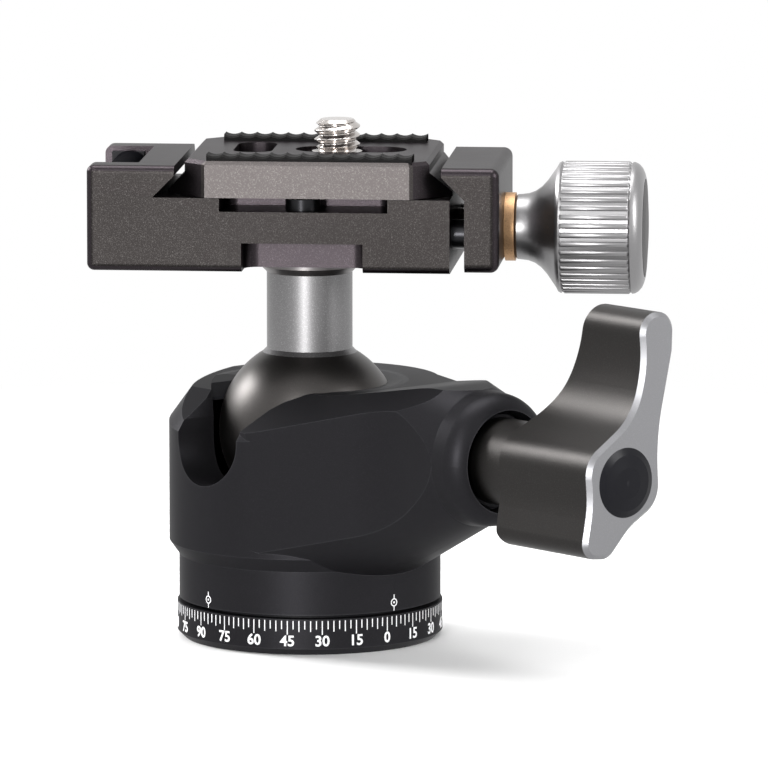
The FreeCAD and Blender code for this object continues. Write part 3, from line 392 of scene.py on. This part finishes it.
def laid_out(name, seed, tree, material, values):
    """Run a tree on one seed mesh and keep the result as a plain mesh object."""
    thing = linked_object(name, seed)
    modifier = thing.modifiers.new(name, "NODES")
    modifier.node_group = tree
    sockets = {item.name: item.identifier for item in tree.interface.items_tree if item.in_out == "INPUT"}
    for title, value in values.items():
        modifier[sockets[title]] = value
    modifier[sockets["Material"]] = material
    evaluated = thing.evaluated_get(bpy.context.evaluated_depsgraph_get())
    plain = bpy.data.meshes.new_from_object(evaluated)
    thing.modifiers.clear()
    thing.data = plain
    plain.name = name
    return thing


def mesh_from(name, vertices, faces):
    """A mesh from corner points and faces."""
    mesh = bpy.data.meshes.new(name)
    mesh.from_pydata([tuple(v) for v in vertices], [], faces)
    mesh.update()
    return mesh


def closed_up(mesh, merge=1e-7):
    """Merge doubled points and turn every face outwards."""
    shape = bmesh.new()
    shape.from_mesh(mesh)
    bmesh.ops.remove_doubles(shape, verts=shape.verts, dist=merge)
    bmesh.ops.recalc_face_normals(shape, faces=shape.faces)
    shape.to_mesh(mesh)
    shape.free()
    return mesh


def smooth_by_angle(mesh, degrees=35):
    """Smooth shading with the sharp corners kept crisp."""
    shape = bmesh.new()
    shape.from_mesh(mesh)
    limit = math.radians(degrees)
    for face in shape.faces:
        face.smooth = True
    for edge in shape.edges:
        edge.smooth = len(edge.link_faces) == 2 and edge.calc_face_angle(math.pi) < limit
    shape.to_mesh(mesh)
    shape.free()
    return mesh


def prism(name, outline, low, high):
    """A prism along Z from a flat outline."""
    count = len(outline)
    vertices = [(x, y, z) for z in (low, high) for x, y in outline]
    faces = [tuple(range(count - 1, -1, -1)), tuple(range(count, 2 * count))]
    faces += [(i, (i + 1) % count, count + (i + 1) % count, count + i) for i in range(count)]
    return closed_up(mesh_from(name, vertices, faces))


def ring_points(columns, radius_at, height):
    """Points round Z at one height, at radius_at(angle) from it."""
    points = []
    for step in range(columns):
        angle = 2 * math.pi * step / columns
        radius = radius_at(angle)
        points.append((radius * math.cos(angle), radius * math.sin(angle), height))
    return points


def skin_faces(columns, pairs):
    """Quads between pairs of rows of points that close on themselves."""
    return [(low * columns + step, low * columns + (step + 1) % columns,
             high * columns + (step + 1) % columns, high * columns + step)
            for low, high in pairs for step in range(columns)]


def lathe_grid(name, rows, columns, radius_at, closed_ends=True):
    """A surface round Z from radius_at(angle, height); rows are heights, in metres."""
    vertices = []
    for height in rows:
        vertices += ring_points(columns, lambda angle: radius_at(angle, height), height)
    faces = skin_faces(columns, [(row, row + 1) for row in range(len(rows) - 1)])
    if closed_ends:
        faces.append(tuple(range(columns - 1, -1, -1)))
        last = (len(rows) - 1) * columns
        faces.append(tuple(range(last, last + columns)))
    return mesh_from(name, vertices, faces)


def revolved(name, profile, columns=128):
    """A solid of revolution round Z from (radius, height) corners; it starts and ends on the axis."""
    vertices = []
    for radius, height in profile:
        vertices += ring_points(columns, lambda angle: radius, height)
    faces = skin_faces(columns, [(row, row + 1) for row in range(len(profile) - 1)])
    return closed_up(mesh_from(name, vertices, faces))


def join_meshes(name, meshes):
    """One mesh from several."""
    shape = bmesh.new()
    for mesh in meshes:
        shape.from_mesh(mesh)
    joined = bpy.data.meshes.new(name)
    shape.to_mesh(joined)
    shape.free()
    return joined


# The dial on the base: ticks every 2.5 degrees, longer every 5 and 15, with numerals under the longest.

INK_LIFT = 0.015 * MM
ZERO_AZIMUTH = math.radians(40.7 - 90)
INDEX_AZIMUTHS = (math.radians(-45.0 - 90), math.radians(45.0 - 90))
INDEX_HEIGHT = 6.65 * MM
TICK_TOP, TICK_LENGTH = 4.8 * MM, 1.15 * MM
NUMERAL_HEIGHT, NUMERAL_SIZE = 1.95 * MM, 2.05 * MM
INK = blasted("Dial ink", (0.82, 0.82, 0.83), (0.7, 0.7, 0.7), 0.3, 1500.0, 0.6, metallic=0.0, bump=0.05)


def make_dial_ticks():
    """The ring's ticks: thin bars sunk in its side."""
    half_width, depth = 0.07 * MM, 0.12 * MM
    outline = [(-depth, -half_width), (INK_LIFT, -half_width), (INK_LIFT, half_width), (-depth, half_width)]
    seed = prism("dial tick", outline, -TICK_LENGTH, 0.0)
    ticks = laid_out("dial_ticks", seed, RING, INK, {
        "Count": 144, "Radius": RING_RADIUS, "Second step": 2, "Third step": 6,
        "Second length": 1.3, "Third length": 1.65,
    })
    place = Matrix.Translation((0, 0, TICK_TOP)) @ Matrix.Rotation(ZERO_AZIMUTH, 4, "Z")
    ticks.data.transform(place)
    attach(ticks, "base")


def flat_text(words, size):
    """The outline of a text as a thin mesh, centred on its middle, reading along X."""
    curve = bpy.data.curves.new("dial text", "FONT")
    curve.body = words
    curve.size = size
    curve.align_x = "CENTER"
    curve.align_y = "CENTER"
    curve.resolution_u = 3
    curve.offset = size * 0.022
    curve.extrude = 0.03 * MM
    letters = linked_object("dial text", curve)
    mesh = bpy.data.meshes.new_from_object(letters.evaluated_get(bpy.context.evaluated_depsgraph_get()))
    bpy.data.objects.remove(letters)
    return mesh


def wrap_on_cylinder(mesh, radius, azimuth, height):
    """Bend a flat mesh onto an upright cylinder; its thickness points outwards."""
    for vertex in mesh.vertices:
        across, up, out = vertex.co
        angle = azimuth + across / radius
        reach = radius + out - INK_LIFT
        vertex.co = (reach * math.cos(angle), reach * math.sin(angle), height + up)


def make_dial_numerals():
    """The ring's numerals, 0 to 90 and back, every 15 degrees."""
    meshes = []
    for step in range(24):
        degrees = 15 * step
        shown = degrees % 180 if degrees % 180 <= 90 else 180 - degrees % 180
        mesh = flat_text(str(shown), NUMERAL_SIZE)
        wrap_on_cylinder(mesh, RING_RADIUS, ZERO_AZIMUTH + math.radians(degrees), NUMERAL_HEIGHT)
        meshes.append(mesh)
    mesh = closed_up(join_meshes("dial_numerals", meshes), 1e-8)
    mesh.materials.append(INK)
    numerals = linked_object("dial_numerals", mesh)
    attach(numerals, "base")


MARK_HALF = 0.03 * MM


def ring_mesh(inner, outer, count=32):
    """A flat ring that faces Z."""
    vertices = []
    for radius, height in ((inner, -MARK_HALF), (outer, -MARK_HALF), (outer, MARK_HALF), (inner, MARK_HALF)):
        vertices += ring_points(count, lambda angle: radius, height)
    return mesh_from("ring", vertices, skin_faces(count, [(0, 1), (1, 2), (2, 3), (3, 0)]))


def make_index_marks():
    """Two pointers on the housing foot: a small ring with a dot and a short line above and below."""
    half = 0.065 * MM
    meshes = []
    for azimuth in INDEX_AZIMUTHS:
        parts = [ring_mesh(0.42 * MM, 0.56 * MM), ring_mesh(0.0001 * MM, 0.15 * MM)]
        for low, high in ((0.5 * MM, 1.12 * MM), (-1.12 * MM, -0.5 * MM)):
            outline = [(-half, low), (half, low), (half, high), (-half, high)]
            parts.append(prism("index line", outline, -MARK_HALF, MARK_HALF))
        mark = join_meshes("index mark", parts)
        wrap_on_cylinder(mark, FOOT_RADIUS, azimuth, INDEX_HEIGHT)
        meshes.append(mark)
    mesh = closed_up(join_meshes("index_marks", meshes), 1e-8)
    mesh.materials.append(INK)
    marks = linked_object("index_marks", mesh)
    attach(marks, "housing")


# The fluted knob: a turned core with straight ribs round the grip.

def make_knob():
    """The knob: its neck, its grip with ribs and the seat of its cap."""
    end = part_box("clamp_knob")[1].x
    start, grip_low, grip_high = 28.45 * MM, 34.5 * MM, 44.4 * MM
    profile = [(0.0, start), (4.15, start), (4.45, start + 0.3 * MM), (4.5, start + 0.9 * MM),
               (4.62, start + 1.8 * MM), (4.95, start + 2.7 * MM), (5.6, start + 3.6 * MM),
               (6.5, start + 4.4 * MM), (7.5, start + 5.1 * MM), (8.3, start + 5.65 * MM),
               (8.85, grip_low - 0.1 * MM), (9.05, grip_low + 0.25 * MM), (8.8, grip_low + 0.55 * MM),
               (8.8, grip_high - 0.1 * MM), (9.05, grip_high + 0.15 * MM), (8.98, grip_high + 0.5 * MM),
               (8.72, grip_high + 0.95 * MM), (8.2, grip_high + 1.4 * MM), (7.6, grip_high + 1.66 * MM),
               (7.1, end), (6.72, end), (6.72, end - 1.0 * MM), (0.0, end - 1.0 * MM)]
    core = revolved("knob core", [(radius * MM, height) for radius, height in profile])
    smooth_by_angle(core)
    rib = rib_mesh(grip_low + 0.3 * MM, grip_high + 0.1 * MM)
    ribs = laid_out("knob ribs", rib, RING, FINISHES["knob"], {"Count": 44, "Radius": 8.7 * MM})
    mesh = join_meshes("fluted_knob", [core, ribs.data])
    bpy.data.objects.remove(ribs)
    turn = Matrix(((0, 0, 1, 0), (0, 1, 0, 0), (-1, 0, 0, 0), (0, 0, 0, 1)))
    mesh.transform(Matrix.Translation((0, 0, KNOB_AXIS_HEIGHT)) @ turn)
    mesh.materials.clear()
    mesh.materials.append(FINISHES["knob"])
    knob = linked_object("fluted_knob", mesh)
    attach(knob, "knob")
    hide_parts("clamp_knob")


def rib_mesh(low, high):
    """One rounded rib, flat side inwards, its ends sloping down; it stands on X and runs along Z."""
    half, rise, slope, depth = 0.4 * MM, 0.4 * MM, 0.45 * MM, 0.3 * MM
    crest_gap = 0.0001 * MM
    section = [(-depth, -half), (-depth, half)]
    section += [(rise * math.cos(angle) ** 0.7 - crest_gap, half * math.sin(angle))
                for angle in (math.radians(step) for step in (80, 50, 20, -20, -50, -80))]
    count = len(section)
    vertices, faces = [], []
    for height, share in ((low, 0.0), (low + slope, 1.0), (high - slope, 1.0), (high, 0.0)):
        for out, across in section:
            vertices.append((out * share if out > 0 else out, across, height))
    faces += skin_faces(count, [(0, 1), (1, 2), (2, 3)])
    faces.append(tuple(range(count - 1, -1, -1)))
    faces.append(tuple(range(3 * count, 4 * count)))
    return smooth_by_angle(closed_up(mesh_from("knob rib", vertices, faces)), 50)


# The rubber pads: strips whose top is a row of shallow hollows between sharp crests.

def make_pads():
    """The plate's two pads."""
    for word in ("front", "back"):
        node = "plate_pad_" + word
        low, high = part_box(node)
        count = 13
        step = (high.x - low.x) / count
        seed = pad_tooth(step, high.y - low.y, high.z - low.z)
        pad = laid_out("ribbed_pad_" + word, seed, ROW, FINISHES["rubber"], {"Count": count, "Step": step})
        pad.data.transform(Matrix.Translation((low.x + step / 2, (low.y + high.y) / 2, low.z)))
        closed_up(pad.data, 1e-6)
        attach(pad, "plate")
        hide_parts(node)


def pad_tooth(step, width, height):
    """One hollow of the pad, in the middle of X and Y, standing on zero."""
    dip, points = 0.3 * MM, 7
    top = []
    for number in range(points + 1):
        share = number / points
        fall = math.sin(math.pi * share) ** 0.8
        top.append((step * (share - 0.5), height - dip * fall))
    rows = [(-0.5, 0.25), (-0.42, 0.0), (0.42, 0.0), (0.5, 0.25)]
    vertices, faces = [], []
    for across, drop in rows:
        for x, z in top:
            vertices.append((x, across * width, z - drop * MM))
        vertices.append((step / 2, across * width, 0.0))
        vertices.append((-step / 2, across * width, 0.0))
    count = points + 3
    for row in range(len(rows) - 1):
        first, second = row * count, (row + 1) * count
        for number in list(range(points)) + [count - 2]:
            following = number + 1
            faces.append((first + number, first + following, second + following, second + number))
    faces.append(tuple(range(count - 1, -1, -1)))
    last = (len(rows) - 1) * count
    faces.append(tuple(range(last, last + count)))
    return mesh_from("pad tooth", vertices, faces)


# Threads: the camera screw and the tripod thread in the base.

def thread_radius(angle, height, start, pitch, crest, root):
    """The radius of a V thread with narrow flats, at an angle and height."""
    phase = ((height - start) / pitch - angle / (2 * math.pi)) % 1.0
    climb = abs(phase - 0.5) * 2
    share = min(max((climb - 0.12) / 0.76, 0.0), 1.0)
    return crest + (root - crest) * share


def make_camera_screw():
    """The camera screw: its own shank and head with a real thread above the plate."""
    low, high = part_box("camera_screw")
    centre = Vector(((low.x + high.x) / 2, (low.y + high.y) / 2, 0))
    start, top, pitch = 67.35 * MM, high.z, 1.27 * MM
    major, minor = 3.17 * MM, 2.52 * MM

    def radius_at(angle, height):
        taper = minor - 0.25 * MM + (top - height) * 1.15
        foot = minor + (height - start) * 0.9
        return min(thread_radius(angle, height, start, pitch, major, minor), taper, foot)

    rows = [start + (top - start) * number / 60 for number in range(61)]
    thread = smooth_by_angle(closed_up(lathe_grid("thread", rows, 64, radius_at)), 32)
    shape = bmesh.new()
    shape.from_mesh(NODES["camera_screw"].data)
    bmesh.ops.remove_doubles(shape, verts=shape.verts, dist=1e-7)
    cut = shape.verts[:] + shape.edges[:] + shape.faces[:]
    bmesh.ops.bisect_plane(shape, geom=cut, plane_co=(0, 0, start + 0.04 * MM), plane_no=(0, 0, 1),
                           clear_outer=True)
    bmesh.ops.holes_fill(shape, edges=[edge for edge in shape.edges if edge.is_boundary])
    bmesh.ops.recalc_face_normals(shape, faces=shape.faces)
    shank = bpy.data.meshes.new("shank")
    shape.to_mesh(shank)
    shape.free()
    thread.transform(Matrix.Translation(centre))
    mesh = join_meshes("threaded_camera_screw", [thread, shank])
    mesh.materials.clear()
    mesh.materials.append(FINISHES["steel"])
    screw = linked_object("threaded_camera_screw", mesh)
    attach(screw, "camera_screw")
    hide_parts("camera_screw")


def make_base_thread():
    """The base's insert with a real thread in it."""
    low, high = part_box("thread_insert")
    pitch, crest, root, outer = 1.5875 * MM, 4.0 * MM, 4.7625 * MM, high.x
    columns = 72

    def inner_at(angle, height):
        mouth = root - min(height - low.z, high.z - height)
        return max(thread_radius(angle, height, low.z, pitch, crest, root), mouth)

    rows = [low.z + (high.z - low.z) * number / 80 for number in range(81)]
    inner = lathe_grid("inner", rows, columns, inner_at, closed_ends=False)
    outside = lathe_grid("outer", [low.z, high.z], columns, lambda angle, height: outer, closed_ends=False)
    shape = bmesh.new()
    shape.from_mesh(inner)
    shape.from_mesh(outside)
    shape.verts.ensure_lookup_table()
    base_row = len(rows) * columns
    for inner_start, outer_start in ((0, base_row), (base_row - columns, base_row + columns)):
        for step in range(columns):
            following = (step + 1) % columns
            corners = [inner_start + step, inner_start + following,
                       outer_start + following, outer_start + step]
            shape.faces.new([shape.verts[number] for number in corners])
    bmesh.ops.recalc_face_normals(shape, faces=shape.faces)
    mesh = bpy.data.meshes.new("threaded_insert")
    shape.to_mesh(mesh)
    shape.free()
    smooth_by_angle(mesh, 32)
    mesh.materials.append(FINISHES["steel"])
    insert = linked_object("threaded_insert", mesh)
    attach(insert, "base")
    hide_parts("thread_insert")


make_dial_ticks()
make_dial_numerals()
make_index_marks()
make_knob()
make_pads()
make_camera_screw()
make_base_thread()


# Stage: floor, lamps and camera

def make_floor():
    """A pale floor that keeps the shadow near the part and fades to white further out."""
    mesh = bpy.data.meshes.new("floor")
    shape = bmesh.new()
    bmesh.ops.create_grid(shape, x_segments=1, y_segments=1, size=4.0)
    shape.to_mesh(mesh)
    shape.free()
    floor = linked_object("floor", mesh)
    material, tree, shader = new_material("Pale floor")
    shader.inputs["Base Color"].default_value = (0.8, 0.8, 0.8, 1)
    shader.inputs["Roughness"].default_value = 0.9
    white = put(tree, "ShaderNodeEmission", Strength=1.0)
    white.inputs["Color"].default_value = (1, 1, 1, 1)
    link = tree.links.new
    rays = put(tree, "ShaderNodeLightPath").outputs
    seen = math_node(tree, "MAXIMUM", rays["Is Glossy Ray"], rays["Is Transmission Ray"])
    place = put(tree, "ShaderNodeTexCoord")
    reach = put(tree, "ShaderNodeVectorMath", operation="LENGTH")
    link(place.outputs["Object"], reach.inputs[0])
    fade_start, fade_end = 0.10, 0.24
    far = put(tree, "ShaderNodeMapRange", From_Min=fade_start, From_Max=fade_end)
    link(reach.outputs["Value"], far.inputs["Value"])
    mixed = put(tree, "ShaderNodeMixShader")
    link(math_node(tree, "MAXIMUM", seen, far.outputs["Result"]), mixed.inputs["Fac"])
    link(shader.outputs["BSDF"], mixed.inputs[1])
    link(white.outputs["Emission"], mixed.inputs[2])
    link(mixed.outputs["Shader"], tree.nodes["Material Output"].inputs["Surface"])
    mesh.materials.append(material)


def make_world():
    """A white background, and a softer room light that comes more from behind the part."""
    world = bpy.data.worlds.new("studio")
    bpy.context.scene.world = world
    world.use_nodes = True
    tree = world.node_tree
    background = tree.nodes["Background"]
    background.inputs["Color"].default_value = (1, 1, 1, 1)
    link = tree.links.new
    rays = put(tree, "ShaderNodeLightPath").outputs
    seen = math_node(tree, "MAXIMUM", rays["Is Camera Ray"],
                     math_node(tree, "MAXIMUM", rays["Is Glossy Ray"], rays["Is Transmission Ray"]))
    place = put(tree, "ShaderNodeTexCoord")
    parts = put(tree, "ShaderNodeSeparateXYZ")
    link(place.outputs["Generated"], parts.inputs["Vector"])
    room = put(tree, "ShaderNodeMapRange", From_Min=-0.3, From_Max=0.7, To_Min=0.22, To_Max=1.0)
    link(parts.outputs["Y"], room.inputs["Value"])
    level = put(tree, "ShaderNodeMix", data_type="FLOAT")
    level.inputs["B"].default_value = 1.0
    link(seen, level.inputs["Factor"])
    link(room.outputs["Result"], level.inputs["A"])
    link(level.outputs["Result"], background.inputs["Strength"])


def add_lamp(name, place, size, power, target=(0, 0, 0.04)):
    """A soft rectangular lamp that faces the part."""
    data = bpy.data.lights.new(name, "AREA")
    data.shape = "RECTANGLE"
    data.size, data.size_y = size
    data.energy = power
    lamp = linked_object(name, data)
    lamp.location = place
    lamp.rotation_mode = "QUATERNION"
    lamp.rotation_quaternion = (Vector(target) - Vector(place)).to_track_quat("-Z", "Y")


def make_camera():
    """The camera of the photograph: long lens, a little to the right and above."""
    azimuth = math.radians(5.470)
    distance, height = 1.281918, 0.221379
    aim_azimuth, drop = math.radians(5.013), math.radians(8.281)
    focal_pixels, frame_pixels = 9402.97, 768
    data = bpy.data.cameras.new("camera")
    data.sensor_width = 36.0
    data.lens = focal_pixels / frame_pixels * data.sensor_width
    camera = linked_object("camera", data)
    camera.location = (math.sin(azimuth) * distance, -math.cos(azimuth) * distance, height)
    forward = Vector((-math.sin(aim_azimuth) * math.cos(drop), math.cos(aim_azimuth) * math.cos(drop),
                      -math.sin(drop)))
    camera.rotation_mode = "QUATERNION"
    camera.rotation_quaternion = forward.to_track_quat("-Z", "Y")
    data.clip_start, data.clip_end = 0.05, 20.0
    bpy.context.scene.camera = camera


bpy.context.scene.view_settings.view_transform = "Standard"
make_floor()
make_world()
add_lamp("key", (-0.25, -0.9, 0.55), (0.18, 0.7), 3.0)
add_lamp("front strip", (-0.13, -0.9, 0.13), (0.11, 0.24), 5.5)
add_lamp("left", (-0.7, 0.3, 0.45), (0.35, 0.35), 9.0)
add_lamp("side", (0.9, -0.35, 0.45), (0.3, 0.6), 6.0)
add_lamp("top", (0.0, 0.15, 0.9), (0.7, 0.5), 8.0)
make_camera()
